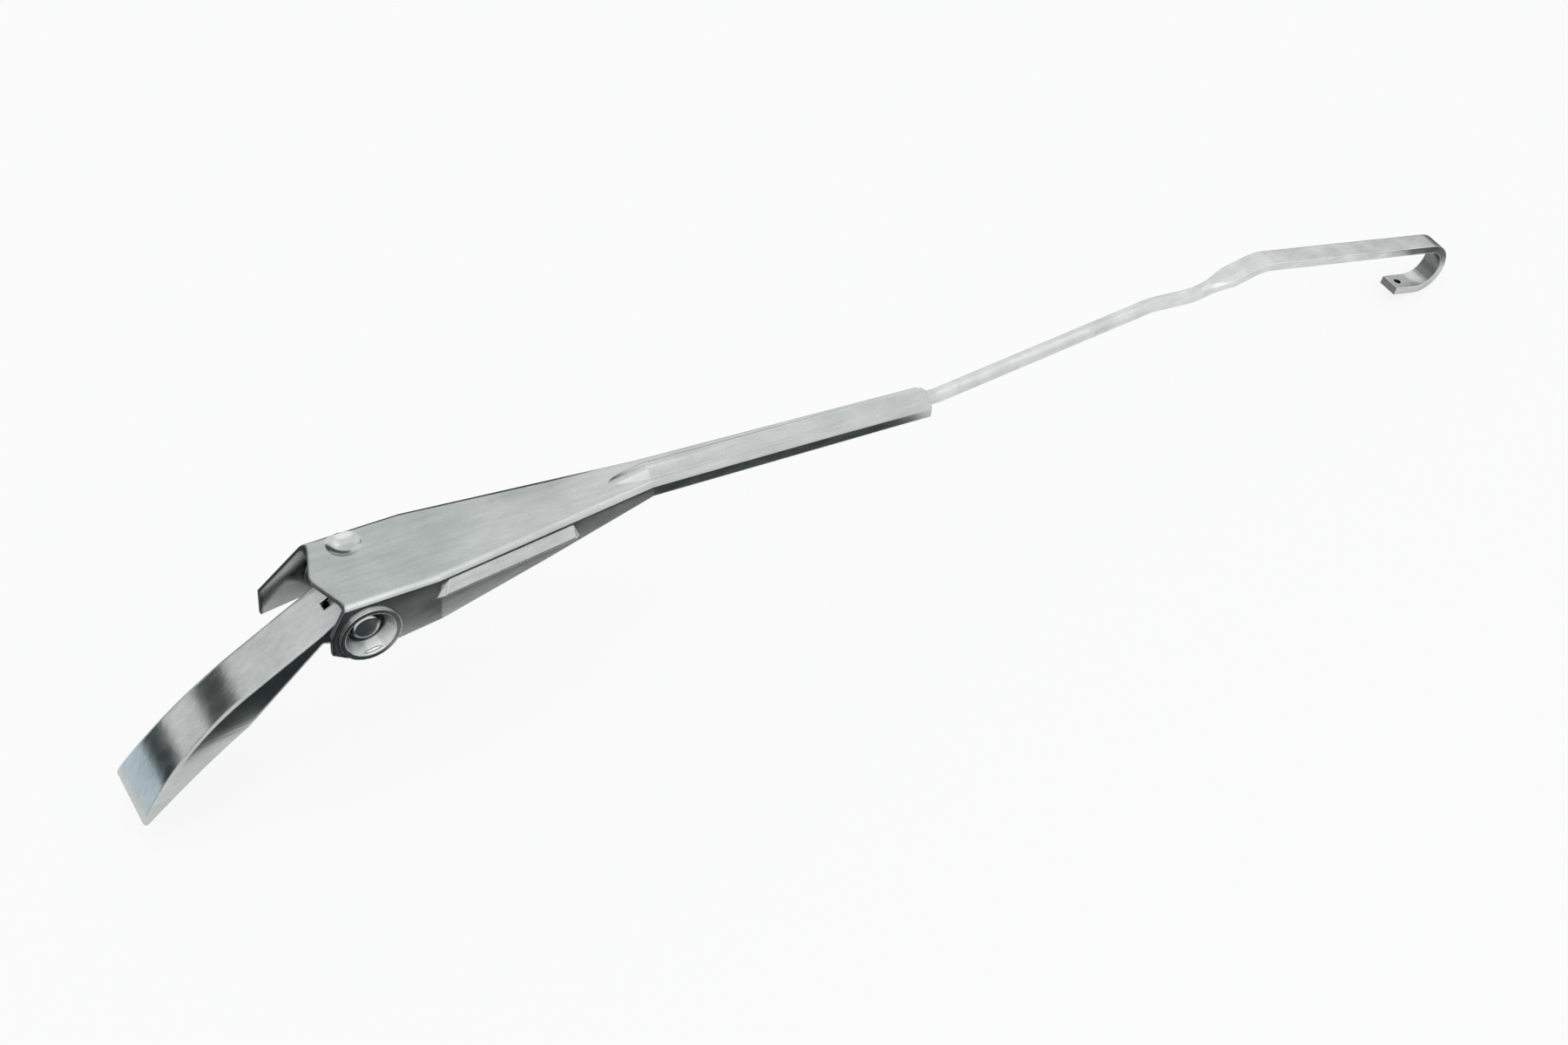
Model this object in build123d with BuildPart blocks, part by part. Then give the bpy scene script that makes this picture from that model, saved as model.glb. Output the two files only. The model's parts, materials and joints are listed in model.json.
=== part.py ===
"""Spring-loaded wiper arm: a pressed head on the spindle, a tapered channel hinged
to it, and a round rod that ends in a flat U-hook for the blade.

Millimetres. The origin is the mouth of the spindle bore, X runs along the arm to the
hook, Y across it and Z up. The arm lies as it does off the car, folded by its spring.
"""
import os
from math import cos, radians, sin, sqrt, tan

from build123d import *

# Head: a sheet pressing with a flat top, tapered cheeks and a rounded nose
sheet = 1.2
head_tilt = 26.5
head_width = 14.6
nose_width = 20.4
flare_start = 4.0
flare_overrun = 2.0
flare_angle = 8.0
head_height = 10.2
nose_start = 10.0
nose_bend_radius = 98.0
nose_bend_angle = 24.4
lip_radius = 8.0
lip_angle = 14.0
lip_length = 0.4
cheek_low_reach = 3.0
cheek_low_height = 1.0
cheek_rise_end = 31.0
cheek_end_depth = 2.8
stop_clearance = 0.3
slit_start = 36.2
slit_clearance = 0.35
fork_width = 8.4
fork_start = 43.0
lug_reach = 6.0
lug_wall = 2.0

# Hinge and spring seats, measured from the spindle along and square to the head
pivot_reach = 42.0
pivot_height = 6.0
spring_pin_distance = 6.4
spring_pin_angle = 215.0

# Spindle hub and its latch
hub_radius = 5.6
hub_chamfer = 0.4
hub_flange_start = -6.0
hub_flange_length = 18.0
hub_flange_thickness = 3.0
hub_seat_clearance = 0.1
bore_radius = 3.5
bore_depth = 6.5
latch_thickness = 0.7
latch_width = 6.0
latch_height = 3.2
latch_foot = 7.0
latch_slope_start = 8.5
latch_seat = 18.0
latch_clearance = 0.3

# Channel: a tapered sheet pressing, deep at the hinge and narrow at the rod
arm_slope = -5.2
channel_half_width = 13.0
plate_height = 10.9
plate_end = 6.0
plate_apex = 10.3
apex_radius = 4.0
near_ear_reach = 10.0
near_ear_top = 2.5
near_ear_low = -3.5
far_ear_reach = 18.8
far_ear_top = -0.5
far_ear_low = -8.0
ear_drop = 6.2
parallel_length = 19.0
taper_length = 63.0
flange_mid_reach = 50.0
flange_mid_depth = 9.6
neck_half_width = 5.5
neck_end_half_width = 4.6
neck_length = 86.0
neck_fall = 3.6
fold_radius = 1.5
ridge_runout = 14.0
bead_start = 0.5
bead_end = 40.5
bead_top = 9.2
bead_crest = 5.7
bead_low = 4.5
bead_height = 1.6
bead_crest_width = 0.4
bead_runout = 2.0
cup_radius = 6.8
cup_floor_radius = 5.0
cup_rim_width = 1.3
cup_rim_height = 0.7
dent_radius = 4.6
dent_depth = 1.5
dent_offset = 8.3
dent_reach = 2.5
tab_length = 7.0
tab_gap = 0.8
tab_inset = 14.0
tab_thickness = 1.0

# Hinge hardware
rivet_radius = 2.5
rivet_head_radius = 3.9
rivet_head_height = 1.5
rivet_dome_radius = 1.2
rivet_tail_radius = 2.9
rivet_tail_height = 1.0
washer_thickness = 0.8
washer_radius = 4.6
running_clearance = 0.05
side_clearance = 0.1
spring_pin_radius = 1.6

# Spring and its link
link_thickness = 2.0
link_height = 5.2
slot_start = 12.0
slot_length = 3.0
slot_height = 2.2
link_end = 19.5
coil_radius = 2.8
wire_radius = 0.6
elbow_radius = 0.65
coil_start = 22.0
coil_pitch = 1.75
coil_turns = 32

# Rod: round stock with a turned-down inner end, flattened into the U-hook
rod_radius = 2.1
rod_depth = 1.5
peg_length = 5.2
peg_bend = 2.4
rod_start = 86.0
exit_reach = 172.0
rod_bend_radius = 14.0
first_run = 71.5
first_rise = 6.3
second_run = 16.0
second_rise = -5.3
third_run = 22.8
third_rise = 12.0
hook_run = 70.0
hook_rise = -12.4
flat_start = 5.0
flat_taper = 7.0
bar_width = 6.4
bar_thickness = 2.4
hook_radius = 7.2
hook_leg = 8.5
hook_hole_radius = 1.2
hook_hole_inset = 3.2


def turned(angle):
    """Direction in the side view, at an angle above +X."""
    return Vector(cos(radians(angle)), 0, sin(radians(angle)))


def side_plane(origin, angle):
    """Side view of a piece: local x along it, local y square to it and upward."""
    return Plane(origin=origin, x_dir=turned(angle), z_dir=(0, -1, 0))


def plan_plane(side):
    """View from above on the same piece: local x along it, local y across."""
    return Plane(origin=side.origin, x_dir=side.x_dir, z_dir=side.y_dir)


head_side = side_plane((0, 0, 0), head_tilt)
head_plan = plan_plane(head_side)
pivot = head_side.from_local_coords((pivot_reach, pivot_height, 0))
arm_side = side_plane(pivot, arm_slope)
arm_plan = plan_plane(arm_side)
spring_pin_at = arm_side.from_local_coords(
    (
        spring_pin_distance * cos(radians(spring_pin_angle)),
        spring_pin_distance * sin(radians(spring_pin_angle)),
        0,
    )
)
half_head = head_width / 2
half_nose = nose_width / 2
lip_end_angle = nose_bend_angle + lip_angle
nose_tip = (
    nose_start
    - nose_bend_radius * sin(radians(nose_bend_angle))
    - lip_radius * (sin(radians(lip_end_angle)) - sin(radians(nose_bend_angle)))
    - lip_length * cos(radians(lip_end_angle))
)
flare_end = nose_tip - flare_overrun
strip_above_pivot = head_height - pivot_height
fold_angle = radians(head_tilt - arm_slope)
stop_height = plate_height - sheet - stop_clearance
tongue_reach = (stop_height - strip_above_pivot * cos(fold_angle)) / sin(fold_angle)
neck_depth = rod_depth + rod_radius + tab_thickness / 2


# Head
def nose_outline(inset):
    """Top line of the head from the hinge end to the tip, inset into the sheet."""
    top = head_height - inset
    start = Line((pivot_reach + tongue_reach, top), (nose_start, top))
    bend = JernArc(start @ 1, start % 1, nose_bend_radius - inset, nose_bend_angle)
    lip = JernArc(bend @ 1, bend % 1, lip_radius - inset, lip_angle)
    end = Line(lip @ 1, lip @ 1 + (lip % 1) * lip_length)
    return start @ 0, end @ 1


def head_outline(inset):
    """Plan of the head, narrow at the hinge and flared at the nose."""
    narrow = half_head - inset
    wide = half_nose - inset
    hinge = pivot_reach + 2 * tongue_reach
    slope = tan(radians(flare_angle))
    Line((hinge, -narrow), (hinge, narrow))
    Line((hinge, narrow), (flare_start, narrow))
    far = Spline((flare_start, narrow), (flare_end, wide), tangents=((-1, 0), (-1, slope)))
    near = Spline((flare_start, -narrow), (flare_end, -wide), tangents=((-1, 0), (-1, -slope)))
    Line(far @ 1, near @ 1)
    Line((flare_start, -narrow), (hinge, -narrow))


spring_pin_local = head_side.to_local_coords(spring_pin_at)
lug_bottom = pivot_height - rivet_radius - lug_wall
lug_left = spring_pin_local.X - 2 * spring_pin_radius
lug_right = pivot_reach + lug_reach
cheek_end = head_height - cheek_end_depth
strip_under = head_height - sheet

with BuildPart() as head_hollow:
    with BuildSketch(head_side):
        with BuildLine():
            hinge_end, tip = nose_outline(sheet)
            Polyline(
                tip,
                (tip.X, -head_height),
                (hinge_end.X + tongue_reach, -head_height),
                (hinge_end.X + tongue_reach, hinge_end.Y),
                hinge_end,
            )
        make_face()
    extrude(amount=nose_width, both=True)
    with BuildSketch(head_plan):
        with BuildLine():
            head_outline(sheet)
        make_face()
    extrude(amount=4 * head_height, both=True, mode=Mode.INTERSECT)

with BuildPart() as head:
    with BuildSketch(head_side):
        with BuildLine():
            hinge_end, tip = nose_outline(0)
            Polyline(
                tip,
                tip + sheet * Vector(sin(radians(lip_end_angle)), -cos(radians(lip_end_angle))),
                (cheek_low_reach, cheek_low_height),
                (cheek_rise_end, cheek_end),
                (lug_left, spring_pin_local.Y),
                (lug_left + spring_pin_radius, lug_bottom),
                (pivot_reach + lug_wall, lug_bottom),
                (lug_right, pivot_height),
                (lug_right, head_height - sheet),
                (hinge_end.X, head_height - sheet),
                hinge_end,
            )
        make_face()
    extrude(amount=nose_width, both=True)
    with BuildSketch(head_plan):
        with BuildLine():
            head_outline(0)
        make_face()
    extrude(amount=4 * head_height, both=True, mode=Mode.INTERSECT)
    top_edges = head.edges().filter_by(
        lambda edge: abs(head_side.to_local_coords(edge.center()).Y - head_height) < 0.01
        and abs(edge.center().Y) > half_head / 2
    )
    fillet(top_edges, radius=sheet / 2)
    add(head_hollow.part, mode=Mode.SUBTRACT)
    with BuildSketch(head_side):
        with Locations((pivot_reach, pivot_height)):
            Circle(rivet_radius)
        with Locations((spring_pin_local.X, spring_pin_local.Y)):
            Circle(spring_pin_radius)
    extrude(amount=nose_width, both=True, mode=Mode.SUBTRACT)
    with BuildSketch(head_plan.offset(strip_under)):
        for start, width in ((slit_start, link_thickness + 2 * slit_clearance), (fork_start, fork_width)):
            with Locations((start, 0)):
                Rectangle(pivot_reach, width, align=(Align.MIN, Align.CENTER))
    extrude(amount=2 * sheet, mode=Mode.SUBTRACT)

# Spindle hub
with BuildPart() as spindle_hub:
    with BuildSketch(head_plan):
        Circle(hub_radius)
    extrude(amount=strip_under)
    with BuildSketch(head_plan.offset(strip_under - hub_flange_thickness)):
        with Locations((hub_flange_start, 0)):
            Rectangle(
                hub_flange_length,
                2 * (half_head - sheet - side_clearance),
                align=(Align.MIN, Align.CENTER),
            )
    extrude(amount=hub_flange_thickness)
    with BuildSketch(head_side):
        with BuildLine():
            hinge_end, tip = nose_outline(sheet + hub_seat_clearance)
            Polyline(
                tip,
                (tip.X, -head_height),
                (hinge_end.X, -head_height),
                hinge_end,
            )
        make_face()
    extrude(amount=nose_width, both=True, mode=Mode.INTERSECT)
    with BuildSketch(head_plan):
        Circle(bore_radius)
    extrude(amount=bore_depth, mode=Mode.SUBTRACT)
    with BuildSketch(head_plan.offset(latch_height - latch_clearance)):
        Rectangle(
            2 * hub_radius,
            latch_width + 2 * latch_clearance,
            align=(Align.MIN, Align.CENTER),
        )
    extrude(amount=latch_thickness + 2 * latch_clearance, mode=Mode.SUBTRACT)
    mouth = spindle_hub.edges().filter_by(GeomType.CIRCLE).sort_by(lambda edge: edge.arc_center.length)[:2]
    chamfer(mouth.sort_by(SortBy.RADIUS)[-1], length=hub_chamfer)

# Latch clip: a leaf under the head whose lip reaches into the hub
leaf_low = latch_height + latch_thickness / 2
leaf_high = strip_under - latch_thickness / 2
with BuildPart() as latch_clip:
    with BuildSketch(head_side):
        with BuildLine():
            FilletPolyline(
                (bore_radius + latch_clearance, leaf_low),
                (latch_slope_start, leaf_low),
                (latch_seat, leaf_high),
                (latch_seat + latch_foot, leaf_high),
                radius=3 * latch_thickness,
            )
        trace(line_width=latch_thickness)
    extrude(amount=latch_width / 2, both=True)

# Channel
neck_start = parallel_length + taper_length
neck_end = neck_start + neck_length
neck_end_height = plate_height - neck_length * tan(radians(neck_fall))
cup_face = half_head + 2 * side_clearance + washer_thickness


def across(reach):
    """Cross-section plane of the channel: local x is Y and local y is upward."""
    return Plane(
        origin=arm_side.from_local_coords((reach, 0, 0)), x_dir=(0, 1, 0), z_dir=arm_side.x_dir
    )


def channel_section(reach, half_width, top, radius):
    """Section of the folded sheet's outline, with the two upper corners rounded."""
    with BuildSketch(across(reach)) as section:
        with BuildLine():
            Polyline(
                (-half_width, -2 * plate_height),
                (half_width, -2 * plate_height),
                (half_width, top),
                (-half_width, top),
                close=True,
            )
        make_face()
        fillet(section.vertices().group_by(Axis.Y)[-1], radius=radius)
    return section.sketch


def folded_sections(inset, overrun, radius):
    """Sections of the channel from the ears to the rod end, inset into the sheet."""
    end_top = neck_end_height - overrun * tan(radians(neck_fall))
    stations = (
        (-2 * far_ear_reach, channel_half_width, plate_height),
        (parallel_length, channel_half_width, plate_height),
        (neck_start, neck_half_width, plate_height),
        (neck_end + overrun, neck_end_half_width, end_top),
    )
    return [
        channel_section(reach, half_width - inset, top - inset, radius)
        for reach, half_width, top in stations
    ]


with BuildPart() as channel_hollow:
    loft(sections=folded_sections(sheet, sheet, fold_radius - sheet), ruled=True)

rod_line_height = plate_height - rod_depth
rod_side = side_plane(arm_side.from_local_coords((neck_start, rod_line_height, 0)), arm_slope - neck_fall)
rod_plan = plan_plane(rod_side)
rod_section = Plane(origin=rod_side.origin, x_dir=(0, 1, 0), z_dir=rod_side.x_dir)

dent_sphere = (dent_radius**2 + dent_depth**2) / (2 * dent_depth)
dent_centre = arm_side.from_local_coords((dent_reach, plate_height + dent_sphere - dent_depth, -dent_offset))
with BuildPart() as dent_shell:
    with Locations(dent_centre):
        Sphere(dent_sphere + sheet)
    with BuildSketch(arm_plan.offset(plate_height - sheet / 2)):
        with Locations((dent_reach, dent_offset)):
            Circle(dent_radius)
    extrude(amount=-2 * dent_depth - sheet, mode=Mode.INTERSECT)

with BuildPart() as channel_trim:
    for side, ear_reach, ear_top, ear_low in (
        (1, near_ear_reach, near_ear_top, near_ear_low),
        (-1, far_ear_reach, far_ear_top, far_ear_low),
    ):
        with BuildSketch(arm_side):
            with BuildLine():
                Polyline(
                    (-plate_end, plate_height),
                    (neck_start, 2 * plate_height),
                    (neck_end, 2 * plate_height),
                    (neck_end, neck_end_height - neck_depth),
                    (neck_start, plate_height - neck_depth),
                    (flange_mid_reach, plate_height - flange_mid_depth),
                    (0, -ear_drop),
                    (-plate_end, -ear_drop),
                    (-ear_reach, ear_low),
                    (-ear_reach, ear_top),
                    close=True,
                )
            make_face()
        extrude(amount=side * channel_half_width)


def flange_plane(side):
    """Outer face of the tapered flange: local x along it and local y upward."""
    along = arm_side.x_dir * taper_length + Vector(0, side * (channel_half_width - neck_half_width), 0)
    return Plane(
        origin=arm_side.from_local_coords((parallel_length, 0, side * channel_half_width)),
        x_dir=along,
        z_dir=along.cross(arm_side.y_dir),
    )


def bead_sections(side, inset):
    """Foot and crest of the stiffening bead pressed out of a flange, inset into the sheet."""
    foot_plane = flange_plane(side).offset(-side * inset)
    crest_end = bead_end - bead_runout
    with BuildSketch(foot_plane) as foot:
        with BuildLine():
            Polyline(
                (bead_start + bead_runout, bead_top),
                (crest_end, bead_top),
                (bead_end, bead_low),
                (bead_start - bead_runout, bead_low),
                close=True,
            )
        make_face()
    with BuildSketch(foot_plane.offset(side * bead_height)) as crest:
        with BuildLine():
            Polyline(
                (bead_start, bead_crest + bead_crest_width),
                (crest_end, bead_crest + bead_crest_width),
                (crest_end, bead_crest),
                (bead_start, bead_crest),
                close=True,
            )
        make_face()
    return [foot.sketch, crest.sketch]


with BuildPart() as channel:
    loft(sections=folded_sections(0, 0, fold_radius), ruled=True)
    add(channel_trim.part, mode=Mode.INTERSECT)
    for side in (-1, 1):
        loft(sections=bead_sections(side, 0), ruled=True)
    with BuildSketch(rod_section):
        Circle(rod_radius + sheet)
    extrude(amount=neck_length)
    with BuildSketch(rod_section):
        Circle(rod_radius + sheet)
    with BuildSketch(across(neck_start - ridge_runout)):
        with Locations((0, plate_height - sheet / 2 - rod_radius - sheet)):
            Circle(rod_radius + sheet)
    loft()
    add(channel_hollow.part, mode=Mode.SUBTRACT)
    for side in (-1, 1):
        loft(sections=bead_sections(side, sheet), ruled=True, mode=Mode.SUBTRACT)
    with BuildSketch(arm_plan.offset(plate_height - sheet)):
        with BuildLine():
            Polyline(
                (0, fold_radius - channel_half_width),
                (-plate_end, fold_radius - channel_half_width),
                (-plate_apex, 0),
                (-plate_end, channel_half_width - fold_radius),
                (0, channel_half_width - fold_radius),
                close=True,
            )
        plate_tip = make_face().vertices().sort_by(Axis.X)[0]
        fillet(plate_tip, radius=apex_radius)
    extrude(amount=sheet)
    for side in (-1, 1):
        outer = arm_side.offset(side * channel_half_width)
        with BuildSketch(arm_side.offset(side * (channel_half_width - sheet))):
            Circle(cup_radius)
        with BuildSketch(arm_side.offset(side * cup_face)):
            Circle(cup_floor_radius)
        loft()
        with BuildSketch(outer):
            Circle(cup_radius + cup_rim_width)
        extrude(amount=side * cup_rim_height)
        with BuildSketch(outer.offset(side * cup_rim_height)):
            Circle(cup_radius)
        with BuildSketch(arm_side.offset(side * (cup_face + sheet))):
            Circle(cup_floor_radius - sheet / 2)
        loft(mode=Mode.SUBTRACT)
    with BuildSketch(arm_side):
        Circle(rivet_radius + running_clearance)
    extrude(amount=2 * channel_half_width, both=True, mode=Mode.SUBTRACT)
    add(dent_shell.part)
    with Locations(dent_centre):
        Sphere(dent_sphere, mode=Mode.SUBTRACT)
    for reach in (tab_inset, neck_length - tab_inset):
        half_width = neck_half_width + (neck_end_half_width - neck_half_width) * reach / neck_length
        with BuildSketch(rod_plan.offset(-rod_radius - running_clearance)):
            for side in (-1, 1):
                with Locations((reach, side * (half_width - sheet / 2 + tab_gap / 2) / 2)):
                    Rectangle(tab_length, half_width - sheet / 2 - tab_gap / 2)
        extrude(amount=-tab_thickness)
    with BuildSketch(rod_section):
        Circle(rod_radius)
    extrude(amount=2 * neck_length, mode=Mode.SUBTRACT)

# Hinge rivets and washers, one of each on either side
cheek_inner = half_head - sheet
rivet_seat = cup_face + sheet + side_clearance
with BuildPart() as pivot_rivets:
    for side in (-1, 1):
        with BuildSketch(arm_side.offset(side * (cheek_inner - rivet_tail_height))):
            Circle(rivet_tail_radius)
        extrude(amount=side * rivet_tail_height)
        with BuildSketch(arm_side.offset(side * cheek_inner)):
            Circle(rivet_radius)
        extrude(amount=side * (rivet_seat - cheek_inner))
        with BuildSketch(arm_side.offset(side * rivet_seat)):
            Circle(rivet_head_radius)
        extrude(amount=side * rivet_head_height)
    rims = pivot_rivets.edges().filter_by(GeomType.CIRCLE).sort_by(Axis.Y)
    fillet((rims[0], rims[-1]), radius=rivet_dome_radius)

with BuildPart() as pivot_washers:
    for side in (-1, 1):
        with BuildSketch(arm_side.offset(side * (half_head + side_clearance))):
            Circle(washer_radius)
            Circle(rivet_radius + running_clearance, mode=Mode.SUBTRACT)
        extrude(amount=side * washer_thickness)

# Spring pin across the head
with BuildPart() as spring_pin:
    with BuildSketch(side_plane(spring_pin_at, head_tilt)):
        Circle(spring_pin_radius)
    extrude(amount=half_head, both=True)

# Rod
peg_top = rod_line_height + (neck_start - rod_start) * tan(radians(neck_fall))
exit_point = Vector(exit_reach, rod_line_height - (exit_reach - neck_start) * tan(radians(neck_fall)))


def run_from(point, length, angle):
    """End of a straight run that leaves a point at an angle to the channel."""
    return point + Vector(length * cos(radians(angle)), length * sin(radians(angle)))


first_end = run_from(exit_point, first_run, first_rise)
second_end = run_from(first_end, second_run, second_rise)
third_end = run_from(second_end, third_run, third_rise)
hook_start = run_from(third_end, hook_run, hook_rise)
round_end = run_from(second_end, flat_start, third_rise)
flat_begin = run_from(round_end, flat_taper, third_rise)

with BuildLine() as round_path:
    FilletPolyline(
        (rod_start, peg_top - peg_length),
        (rod_start, peg_top),
        exit_point,
        first_end,
        second_end,
        round_end,
        radius=[peg_bend, rod_bend_radius, rod_bend_radius, rod_bend_radius],
    )
round_wire = arm_side.from_local_coords(round_path.wires()[0])

with BuildLine() as flat_path:
    FilletPolyline(flat_begin, third_end, hook_start, radius=rod_bend_radius)
    bend = JernArc(hook_start, hook_start - third_end, hook_radius, -180)
    Line(bend @ 1, bend @ 1 + (bend % 1) * hook_leg)
flat_wire = arm_side.from_local_coords(flat_path.wires()[0])
flat_section = Plane(origin=flat_wire @ 0, x_dir=(0, 1, 0), z_dir=flat_wire % 0)
leg_way = flat_wire % 1
hole_at = flat_wire @ 1 - leg_way * hook_hole_inset

with BuildPart() as rod:
    with BuildSketch(Plane(origin=round_wire @ 0, z_dir=round_wire % 0)):
        Circle(rod_radius)
    sweep(path=round_wire)
    with BuildSketch(flat_section):
        Rectangle(bar_width, bar_thickness)
    sweep(path=flat_wire)
    with BuildSketch(flat_section.offset(-flat_taper)):
        Circle(rod_radius)
    with BuildSketch(flat_section):
        Rectangle(bar_width, bar_thickness)
    loft()
    with BuildSketch(Plane(origin=hole_at, z_dir=leg_way.cross(Vector(0, 1, 0)))):
        Circle(hook_hole_radius)
    extrude(amount=bar_thickness, both=True, mode=Mode.SUBTRACT)

# Tension spring from the rod's peg to the link, and the link on the spring pin
peg_seat = arm_side.from_local_coords((rod_start, peg_top - peg_length + 2 * wire_radius, 0))
spring_side = Plane(origin=spring_pin_at, x_dir=peg_seat - spring_pin_at, z_dir=(0, -1, 0))
spring_plan = plan_plane(spring_side)
spring_reach = (peg_seat - spring_pin_at).length
spring_play = (peg_seat - pivot).length + spring_pin_distance - spring_reach
peg_hook_seat = spring_reach + spring_play + rod_radius + wire_radius + running_clearance - coil_radius
coil_end = coil_start + coil_pitch * coil_turns
loop_inside = coil_radius - wire_radius
loop_sag = loop_inside - sqrt(loop_inside**2 - (link_thickness / 2) ** 2)
link_hook_seat = slot_start + slot_length - loop_sag - running_clearance + loop_inside

with BuildPart() as spring_link:
    with BuildSketch(spring_side):
        with Locations(((link_end - link_height / 2) / 2, 0)):
            SlotCenterToCenter(link_end - link_height / 2, link_height)
        Circle(spring_pin_radius + running_clearance, mode=Mode.SUBTRACT)
        with Locations((slot_start + slot_length / 2, 0)):
            SlotOverall(slot_length, slot_height, mode=Mode.SUBTRACT)
    extrude(amount=link_thickness / 2, both=True)

coil_plane = Plane(
    origin=spring_side.from_local_coords((coil_start, 0, 0)), x_dir=(0, 1, 0), z_dir=spring_side.x_dir
)
with BuildLine() as coil_path:
    Helix(pitch=coil_pitch, height=coil_pitch * coil_turns, radius=coil_radius)
coil_wire = coil_plane.from_local_coords(coil_path.wires()[0])


def end_hook(start, seat, turn):
    """Wire line of a half loop that leaves the coil and closes round a seat."""
    with BuildLine() as path:
        leg = Line((start, coil_radius), (seat, coil_radius))
        loop = JernArc(leg @ 1, leg % 1, coil_radius, turn)
        Line(loop @ 1, loop @ 1 + (loop % 1) * coil_radius)
    return spring_plan.from_local_coords(path.wires()[0])


link_hook = end_hook(coil_start, link_hook_seat, 180)
peg_hook = end_hook(coil_end, peg_hook_seat, -180)

with BuildPart() as tension_spring:
    with BuildSketch(Plane(origin=coil_wire @ 0, z_dir=coil_wire % 0)):
        Circle(wire_radius)
    sweep(path=coil_wire, is_frenet=True)
    for hook in (link_hook, peg_hook):
        with Locations(hook @ 0):
            Sphere(elbow_radius)
        with BuildSketch(Plane(origin=hook @ 0, z_dir=hook % 0)):
            Circle(wire_radius)
        sweep(path=hook)

pieces = {
    "head": head,
    "spindle_hub": spindle_hub,
    "latch_clip": latch_clip,
    "spring_pin": spring_pin,
    "pivot_rivets": pivot_rivets,
    "pivot_washers": pivot_washers,
    "channel": channel,
    "rod": rod,
    "tension_spring": tension_spring,
    "spring_link": spring_link,
}
os.makedirs("parts", exist_ok=True)
for name, piece in pieces.items():
    piece.part.label = name
    export_step(piece.part, f"parts/{name}.step")
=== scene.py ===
"""Studio picture of the wiper arm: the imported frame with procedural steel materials."""
import json
from math import cos, radians, sin, tan

import bpy
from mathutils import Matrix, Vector


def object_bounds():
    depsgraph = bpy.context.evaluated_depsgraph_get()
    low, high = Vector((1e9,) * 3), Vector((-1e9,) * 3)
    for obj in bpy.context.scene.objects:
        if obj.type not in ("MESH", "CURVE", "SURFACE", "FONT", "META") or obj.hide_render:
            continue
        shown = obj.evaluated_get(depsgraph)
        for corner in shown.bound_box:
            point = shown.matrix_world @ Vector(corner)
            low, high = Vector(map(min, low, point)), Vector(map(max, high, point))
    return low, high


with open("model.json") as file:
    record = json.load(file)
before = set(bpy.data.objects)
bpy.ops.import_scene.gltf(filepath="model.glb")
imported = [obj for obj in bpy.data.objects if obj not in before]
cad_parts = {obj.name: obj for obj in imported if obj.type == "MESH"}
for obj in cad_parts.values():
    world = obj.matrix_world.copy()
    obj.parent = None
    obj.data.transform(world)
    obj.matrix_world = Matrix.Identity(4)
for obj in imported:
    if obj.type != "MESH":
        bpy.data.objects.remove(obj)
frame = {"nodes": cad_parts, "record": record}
cad_low, cad_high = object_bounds()
scene = bpy.context.scene
scene.view_settings.view_transform = "Standard"

# Lengths are in metres and texture scales per metre.
# Steel
EDGE_RADIUS = 0.0004
HEAD_EDGE_RADIUS = 0.0008
END_REACH = 0.0003
V_END_REACH = 0.0016
V_END_LIMIT = 0.0305
WHOLE_ARM = 1.0
CREVICE_REACH = 0.012
GRAIN = (40, 600, 600)
ROD_GRAIN = (60, 900, 900)
RELIEF_DEPTH = 0.00006
RELIEF_FINENESS = 1.6
GLOSS_FINENESS = 2.2
GLOSS_STRETCH = (0.4, 1, 1)
PIT_SCALE = 2200.0

# Stage
FLOOR_DROP = 0.0003
FLOOR_SIZE = 12.0
FLOOR_COLOUR = (0.9, 0.9, 0.9)
FLOOR_GLOW = 0.85
SKY_COLOUR = (0.94, 0.97, 0.97)
SKY_STRENGTH = 0.8
CARD_COLOUR = (0.05, 0.06, 0.06)
CARD_LIFT = 0.0002
NOSE_PLACE = (-0.015, 0.0, 0.005)
PLATE_PLACE = (0.036, 0.006, 0.034)
HOOK_PLACE = (0.385, 0.0, -0.01)
BEHIND_NOSE = (105.0, 165.0)
LAMP_PLACE = Vector((0.05, -0.55, 1.2))
LAMP_TARGET = Vector((0.16, 0.0, 0.0))
LAMP_SIZE = 1.6
LAMP_POWER = 3.0

# Camera, with its place and target measured from the arm's hinge
CAMERA_FROM_HINGE = Vector((-0.12434, -0.4301, 0.47735))
TARGET_FROM_HINGE = Vector((0.124, 0.0, -0.037))
LENS_MM = 60.0
SENSOR_MM = 36.0
CLIP_START = 0.01

# Sockets of the mix node in its colour mode
MIX_FACTOR, MIX_FIRST, MIX_SECOND, MIX_RESULT = 0, 6, 7, 2


# Node helpers
def new_material(name):
    material = bpy.data.materials.new(name)
    material.use_nodes = True
    material.node_tree.nodes.clear()
    return material, material.node_tree


def add_node(tree, kind, **values):
    node = tree.nodes.new(kind)
    for key, value in values.items():
        setattr(node, key, value)
    return node


def stretched(tree, scale):
    """Object coordinates with a scale for each axis."""
    coords = add_node(tree, "ShaderNodeTexCoord")
    mapping = add_node(tree, "ShaderNodeMapping")
    mapping.inputs["Scale"].default_value = scale
    tree.links.new(coords.outputs["Object"], mapping.inputs["Vector"])
    return mapping.outputs["Vector"]


def noise(tree, scale, detail, stretch=(1, 1, 1)):
    node = add_node(tree, "ShaderNodeTexNoise")
    node.inputs["Scale"].default_value = scale
    node.inputs["Detail"].default_value = detail
    node.inputs["Roughness"].default_value = 0.55
    tree.links.new(stretched(tree, stretch), node.inputs["Vector"])
    return node.outputs["Fac"]


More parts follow.
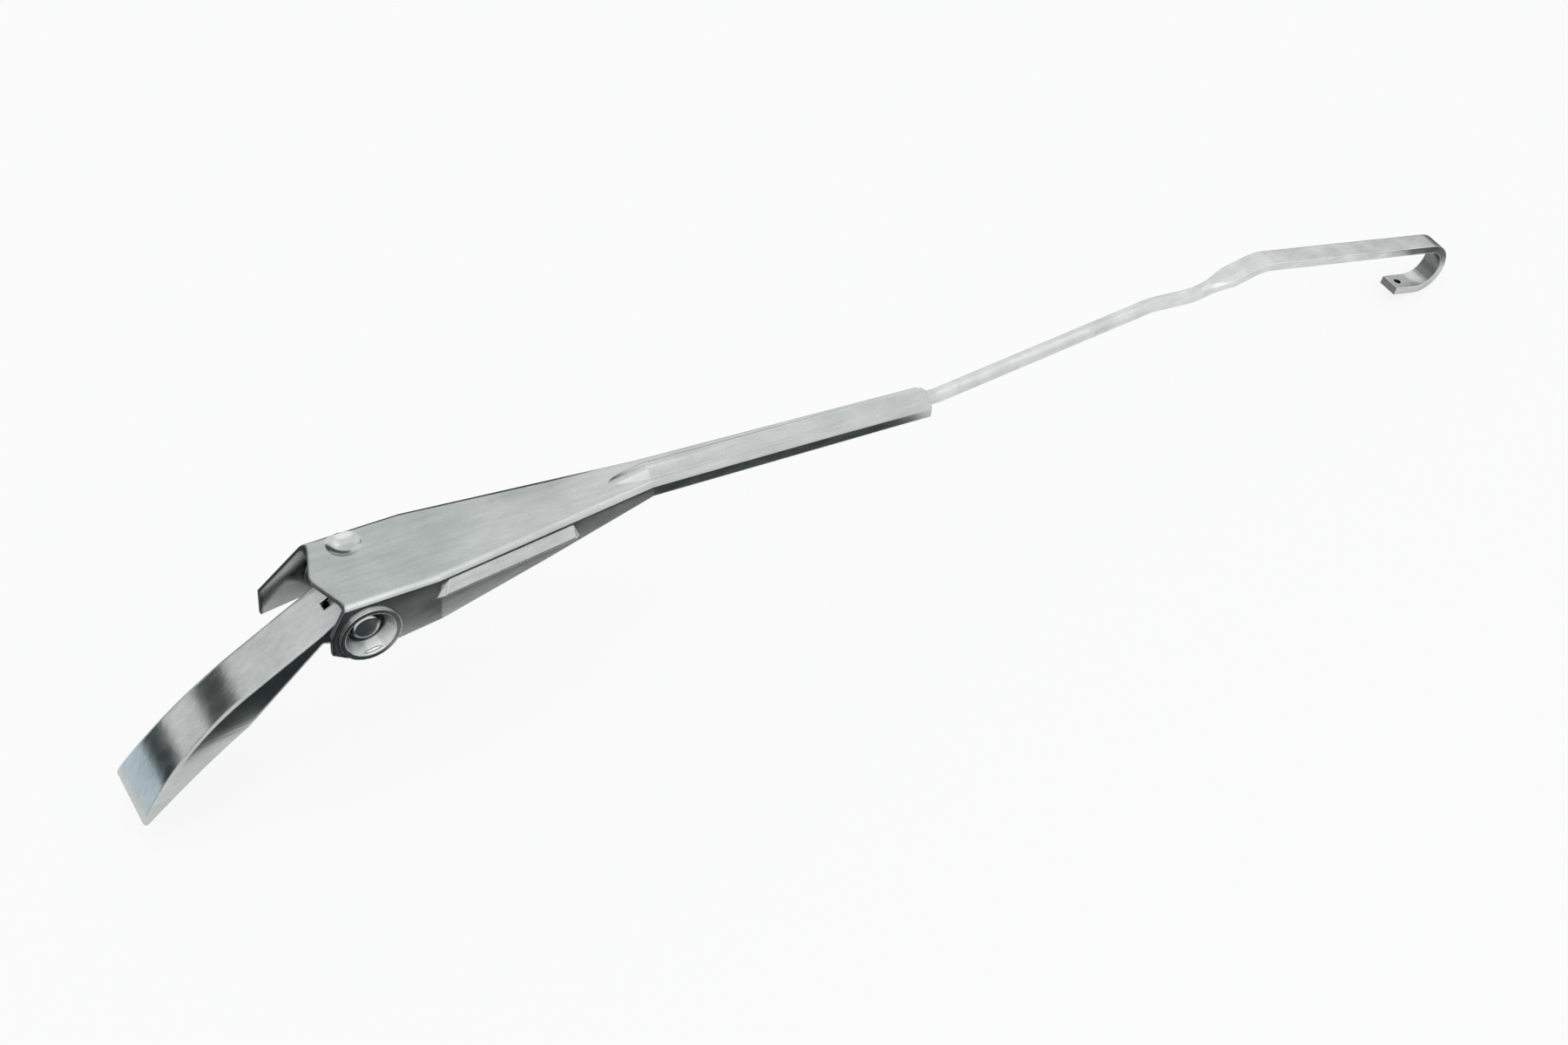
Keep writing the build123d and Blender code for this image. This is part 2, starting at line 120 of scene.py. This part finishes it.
def ramp(tree, source, first_stop, last_stop):
    """Colour ramp between two stops, each a position with a grey value or a colour."""
    node = add_node(tree, "ShaderNodeValToRGB")
    for element, (position, value) in zip(node.color_ramp.elements, (first_stop, last_stop)):
        colour = value if isinstance(value, tuple) else (value, value, value)
        element.position = position
        element.color = (*colour, 1.0)
    tree.links.new(source, node.inputs["Fac"])
    return node.outputs["Color"]


def mix(tree, factor, first, second):
    """Colour mix by a linked factor. A colour is linked, or given as a tuple."""
    node = add_node(tree, "ShaderNodeMix", data_type="RGBA")
    tree.links.new(factor, node.inputs[MIX_FACTOR])
    for socket, value in ((MIX_FIRST, first), (MIX_SECOND, second)):
        if isinstance(value, tuple):
            node.inputs[socket].default_value = (*value, 1.0)
        else:
            tree.links.new(value, node.inputs[socket])
    return node.outputs[MIX_RESULT]


def multiply(tree, first, second):
    node = add_node(tree, "ShaderNodeMix", data_type="RGBA", blend_type="MULTIPLY")
    node.inputs[MIX_FACTOR].default_value = 1.0
    tree.links.new(first, node.inputs[MIX_FIRST])
    tree.links.new(second, node.inputs[MIX_SECOND])
    return node.outputs[MIX_RESULT]


def edge_mask(tree, radius):
    """White where the surface bends within a radius, for edges lightened as wear and as a painted
    highlight, and the rounded normal.
    """
    bevel = add_node(tree, "ShaderNodeBevel", samples=6)
    bevel.inputs["Radius"].default_value = radius
    geometry = add_node(tree, "ShaderNodeNewGeometry")
    likeness = add_node(tree, "ShaderNodeVectorMath", operation="DOT_PRODUCT")
    tree.links.new(bevel.outputs["Normal"], likeness.inputs[0])
    tree.links.new(geometry.outputs["Normal"], likeness.inputs[1])
    return ramp(tree, likeness.outputs["Value"], (0.80, 1.0), (0.985, 0.0)), bevel.outputs["Normal"]


def crevice_shade(tree):
    """Dark where other surfaces stand close: painted shade in corners and folds."""
    occlusion = add_node(tree, "ShaderNodeAmbientOcclusion", samples=8)
    occlusion.inputs["Distance"].default_value = CREVICE_REACH
    return ramp(tree, occlusion.outputs["AO"], (0.2, 0.2), (0.72, 1.0))


def painted_end_shade(tree, tone, reach, limit):
    """Painted shade on and beside the ends that face back along the arm, up to a place along it."""
    bevel = add_node(tree, "ShaderNodeBevel", samples=8)
    bevel.inputs["Radius"].default_value = reach
    turned = add_node(
        tree,
        "ShaderNodeVectorTransform",
        vector_type="NORMAL",
        convert_from="WORLD",
        convert_to="OBJECT",
    )
    tree.links.new(bevel.outputs["Normal"], turned.inputs[0])
    facing = add_node(tree, "ShaderNodeVectorMath", operation="DOT_PRODUCT")
    facing.inputs[1].default_value = (-1.0, 0.0, 0.0)
    tree.links.new(turned.outputs[0], facing.inputs[0])
    coords = add_node(tree, "ShaderNodeTexCoord")
    place = add_node(tree, "ShaderNodeSeparateXYZ")
    tree.links.new(coords.outputs["Object"], place.inputs[0])
    within = add_node(tree, "ShaderNodeMath", operation="LESS_THAN")
    within.inputs[1].default_value = limit
    tree.links.new(place.outputs["X"], within.inputs[0])
    end_shaded = ramp(tree, facing.outputs["Value"], (0.2, 1.0), (0.5, tone))
    return mix(tree, within.outputs[0], (1.0, 1.0, 1.0), end_shaded)


def steel(
    name,
    dark,
    light,
    rough,
    grain=GRAIN,
    mottle=90.0,
    edge=EDGE_RADIUS,
    bump=0.12,
    end_shade_tone=1.0,
    end_reach=END_REACH,
    end_limit=WHOLE_ARM,
):
    """Worked steel: mottled tone, drawing lines along the arm, edges lightened as wear and as a painted
    highlight, fine pits, and painted shade in crevices and, where given, on ends facing back along the
    arm.
    """
    material, tree = new_material(name)
    shader = add_node(tree, "ShaderNodeBsdfPrincipled")
    output = add_node(tree, "ShaderNodeOutputMaterial")
    tree.links.new(shader.outputs[0], output.inputs["Surface"])
    shader.inputs["Metallic"].default_value = 1.0

    patches = ramp(tree, noise(tree, mottle, 6.0), (0.32, dark), (0.68, light))
    lines = ramp(tree, noise(tree, 1.0, 3.0, grain), (0.35, 0.9), (0.65, 1.0))
    pits = ramp(tree, noise(tree, PIT_SCALE, 2.0), (0.27, 0.72), (0.36, 1.0))
    toned = multiply(tree, multiply(tree, patches, lines), pits)
    # Edges lightened as wear and as a painted highlight
    rubbed_and_highlit_edges, rounded = edge_mask(tree, edge)
    bright = tuple(min(1.0, 0.35 + value * 0.7) for value in light)
    worn_with_painted_light = mix(tree, rubbed_and_highlit_edges, toned, bright)
    # Painted shade on surfaces facing back along the arm
    if end_shade_tone < 1.0:
        worn_with_painted_light = multiply(tree, worn_with_painted_light, painted_end_shade(tree, end_shade_tone, end_reach, end_limit))
    # Painted shade in crevices and folds
    worn_with_painted_light = multiply(tree, worn_with_painted_light, crevice_shade(tree))
    tree.links.new(worn_with_painted_light, shader.inputs["Base Color"])

    smears = noise(tree, mottle * GLOSS_FINENESS, 5.0, GLOSS_STRETCH)
    gloss = ramp(tree, smears, (0.3, rough * 0.8), (0.7, rough * 1.25))
    tree.links.new(gloss, shader.inputs["Roughness"])

    scratches = noise(tree, 1.0, 4.0, tuple(value * RELIEF_FINENESS for value in grain))
    relief = add_node(tree, "ShaderNodeBump")
    relief.inputs["Strength"].default_value = bump
    relief.inputs["Distance"].default_value = RELIEF_DEPTH
    tree.links.new(scratches, relief.inputs["Height"])
    tree.links.new(rounded, relief.inputs["Normal"])
    tree.links.new(relief.outputs["Normal"], shader.inputs["Normal"])
    return material


head_steel = steel(
    "head_steel", (0.49, 0.52, 0.51), (0.57, 0.60, 0.59), 0.13, edge=HEAD_EDGE_RADIUS
)
# The channel's V end gets a painted dark shade line along it
channel_steel = steel(
    "channel_steel",
    (0.53, 0.56, 0.55),
    (0.61, 0.64, 0.63),
    0.22,
    end_shade_tone=0.1,
    end_reach=V_END_REACH,
    end_limit=V_END_LIMIT,
)
# The rod's surfaces facing back along the arm, such as the hook's inner bend, get painted shade
rod_steel = steel(
    "rod_steel",
    (0.60, 0.62, 0.61),
    (0.76, 0.78, 0.77),
    0.30,
    grain=ROD_GRAIN,
    mottle=140.0,
    end_shade_tone=0.3,
)
rivet_steel = steel("rivet_steel", (0.68, 0.70, 0.70), (0.82, 0.84, 0.83), 0.16, mottle=260.0)
hub_metal = steel(
    "hub_metal", (0.34, 0.35, 0.35), (0.48, 0.49, 0.49), 0.42, mottle=300.0, bump=0.3
)
spring_steel = steel("spring_steel", (0.30, 0.31, 0.32), (0.46, 0.47, 0.48), 0.28, mottle=220.0)

finishes = {
    "head": head_steel,
    "channel": channel_steel,
    "rod": rod_steel,
    "pivot_rivets": rivet_steel,
    "pivot_washers": rivet_steel,
    "spring_pin": rivet_steel,
    "spindle_hub": hub_metal,
    "latch_clip": spring_steel,
    "spring_link": spring_steel,
    "tension_spring": spring_steel,
}
for node_name, finish in finishes.items():
    node = frame["nodes"][node_name]
    node.data.materials.clear()
    node.data.materials.append(finish)


# Stage helpers
def white_for_background(tree, lit_output, share):
    """Mixes plain white over a surface or a sky for camera, glossy and transmission rays."""
    path = add_node(tree, "ShaderNodeLightPath")
    seen = path.outputs["Is Camera Ray"]
    for ray in ("Is Glossy Ray", "Is Transmission Ray"):
        either = add_node(tree, "ShaderNodeMath", operation="MAXIMUM")
        tree.links.new(seen, either.inputs[0])
        tree.links.new(path.outputs[ray], either.inputs[1])
        seen = either.outputs[0]
    part = add_node(tree, "ShaderNodeMath", operation="MULTIPLY")
    part.inputs[1].default_value = share
    tree.links.new(seen, part.inputs[0])
    glow = add_node(tree, "ShaderNodeEmission")
    glow.inputs["Strength"].default_value = 1.0
    blend = add_node(tree, "ShaderNodeMixShader")
    tree.links.new(part.outputs[0], blend.inputs[0])
    tree.links.new(lit_output, blend.inputs[1])
    tree.links.new(glow.outputs[0], blend.inputs[2])
    return blend.outputs[0]


def stage_quad(name, corners, material):
    mesh = bpy.data.meshes.new(name)
    mesh.from_pydata(corners, [], [(0, 1, 2, 3)])
    mesh.materials.append(material)
    quad = bpy.data.objects.new(name, mesh)
    scene.collection.objects.link(quad)
    return quad


# Floor: pale, and near white where it is seen, with the arm's shadow on it
floor_level = cad_low[2] - FLOOR_DROP
floor_material, floor_tree = new_material("floor")
floor_paint = add_node(floor_tree, "ShaderNodeBsdfDiffuse")
floor_paint.inputs["Color"].default_value = (*FLOOR_COLOUR, 1.0)
floor_output = add_node(floor_tree, "ShaderNodeOutputMaterial")
floor_tree.links.new(
    white_for_background(floor_tree, floor_paint.outputs[0], FLOOR_GLOW),
    floor_output.inputs["Surface"],
)
half = FLOOR_SIZE / 2
floor_corners = ((-half, -half), (half, -half), (half, half), (-half, half))
stage_quad("floor", [(x, y, floor_level) for x, y in floor_corners], floor_material)

# World: an even pale studio, white where it is seen
world = bpy.data.worlds.new("studio")
scene.world = world
world.use_nodes = True
world_tree = world.node_tree
sky = world_tree.nodes["Background"]
sky.inputs["Color"].default_value = (*SKY_COLOUR, 1.0)
sky.inputs["Strength"].default_value = SKY_STRENGTH
world_tree.links.new(
    white_for_background(world_tree, sky.outputs[0], 1.0),
    world_tree.nodes["World Output"].inputs["Surface"],
)

# Cards: dark, blue, grey and white sheets off camera that the bright metal mirrors as bands
card_material, card_tree = new_material("card")
card_paint = add_node(card_tree, "ShaderNodeBsdfDiffuse")
card_paint.inputs["Color"].default_value = (*CARD_COLOUR, 1.0)
card_output = add_node(card_tree, "ShaderNodeOutputMaterial")
card_tree.links.new(card_paint.outputs[0], card_output.inputs["Surface"])


def glowing_card(name, colour, strength=1.0):
    material, tree = new_material(name)
    glow = add_node(tree, "ShaderNodeEmission")
    glow.inputs["Color"].default_value = (*colour, 1.0)
    glow.inputs["Strength"].default_value = strength
    output = add_node(tree, "ShaderNodeOutputMaterial")
    tree.links.new(glow.outputs[0], output.inputs["Surface"])
    return material


blue_material = glowing_card("blue_card", (0.77, 0.89, 0.99))
grey_material = glowing_card("grey_card", (0.76, 0.79, 0.78))
white_material = glowing_card("white_card", (1.0, 1.0, 1.0), 1.4)


def mirrored_card(name, corners, material):
    """A card that shows in the metal and nowhere else."""
    card = stage_quad(name, corners, material)
    card.visible_camera = False
    card.visible_diffuse = False
    card.visible_shadow = False


def floor_card(name, left, front, right, back, back_left=None):
    """Dark card on the floor. Its back edge slants where the edge's left end is given too."""
    if back_left is None:
        back_left = back
    level = floor_level + CARD_LIFT
    corners = [
        (left, front, level),
        (right, front, level),
        (right, back, level),
        (left, back_left, level),
    ]
    mirrored_card(name, corners, card_material)


def standing_card(name, centre, distance, bearings, heights, material=card_material):
    """Upright card seen from a place on the arm between two bearings and two elevations, in degrees."""
    start, end = bearings
    low, high = heights
    corners = [
        (
            centre[0] + distance * cos(radians(bearing)),
            centre[1] + distance * sin(radians(bearing)),
            centre[2] + distance * tan(radians(height)),
        )
        for bearing, height in ((start, low), (end, low), (end, high), (start, high))
    ]
    mirrored_card(name, corners, material)


floor_card("near_card", -0.01, -0.17, 0.22, -0.0217, back_left=-0.06)
floor_card("hinge_card", -0.01, -0.062, 0.05, -0.03)
floor_card("far_card", -0.01, 0.03, 0.22, 0.17)
floor_card("hook_near_card", 0.388, -0.07, 0.47, -0.01)
floor_card("hook_far_card", 0.40, 0.0, 0.62, 0.22)
standing_card("back_card", NOSE_PLACE, 1.5, BEHIND_NOSE, (20.5, 28.5))
standing_card("low_card", NOSE_PLACE, 1.5, BEHIND_NOSE, (4.0, 11.0))
standing_card("nose_end_card", NOSE_PLACE, 0.25, BEHIND_NOSE, (-6.4, 1.9), blue_material)
standing_card("plate_flag", PLATE_PLACE, 0.19, (52.0, 105.0), (30.0, 54.0), grey_material)
standing_card("hook_card", HOOK_PLACE, 0.35, (15.0, 60.0), (-2.0, 8.0))
standing_card("dent_card", PLATE_PLACE, 0.1, (28.0, 78.0), (-20.0, 22.0))
standing_card("dent_light", PLATE_PLACE, 0.3, (15.0, 42.0), (38.0, 58.0), white_material)


def aim(thing, place, target):
    thing.location = place
    thing.rotation_euler = (target - place).to_track_quat("-Z", "Y").to_euler()


# Lamp: one large soft square over the arm
lamp_data = bpy.data.lights.new("key", "AREA")
lamp_data.shape = "RECTANGLE"
lamp_data.size = LAMP_SIZE
lamp_data.size_y = LAMP_SIZE
lamp_data.energy = LAMP_POWER
lamp = bpy.data.objects.new("key", lamp_data)
aim(lamp, LAMP_PLACE, LAMP_TARGET)
scene.collection.objects.link(lamp)

# Camera at the photograph's angle
joints = frame["record"]["behaviour"]["joints"]
hinge_joint = next(joint for joint in joints if joint["name"] == "arm_lift")
hinge_place = Vector(hinge_joint["pos_m"])
camera_data = bpy.data.cameras.new("camera")
camera_data.lens = LENS_MM
camera_data.sensor_width = SENSOR_MM
camera_data.clip_start = CLIP_START
camera = bpy.data.objects.new("camera", camera_data)
aim(camera, hinge_place + CAMERA_FROM_HINGE, hinge_place + TARGET_FROM_HINGE)
scene.collection.objects.link(camera)
scene.camera = camera
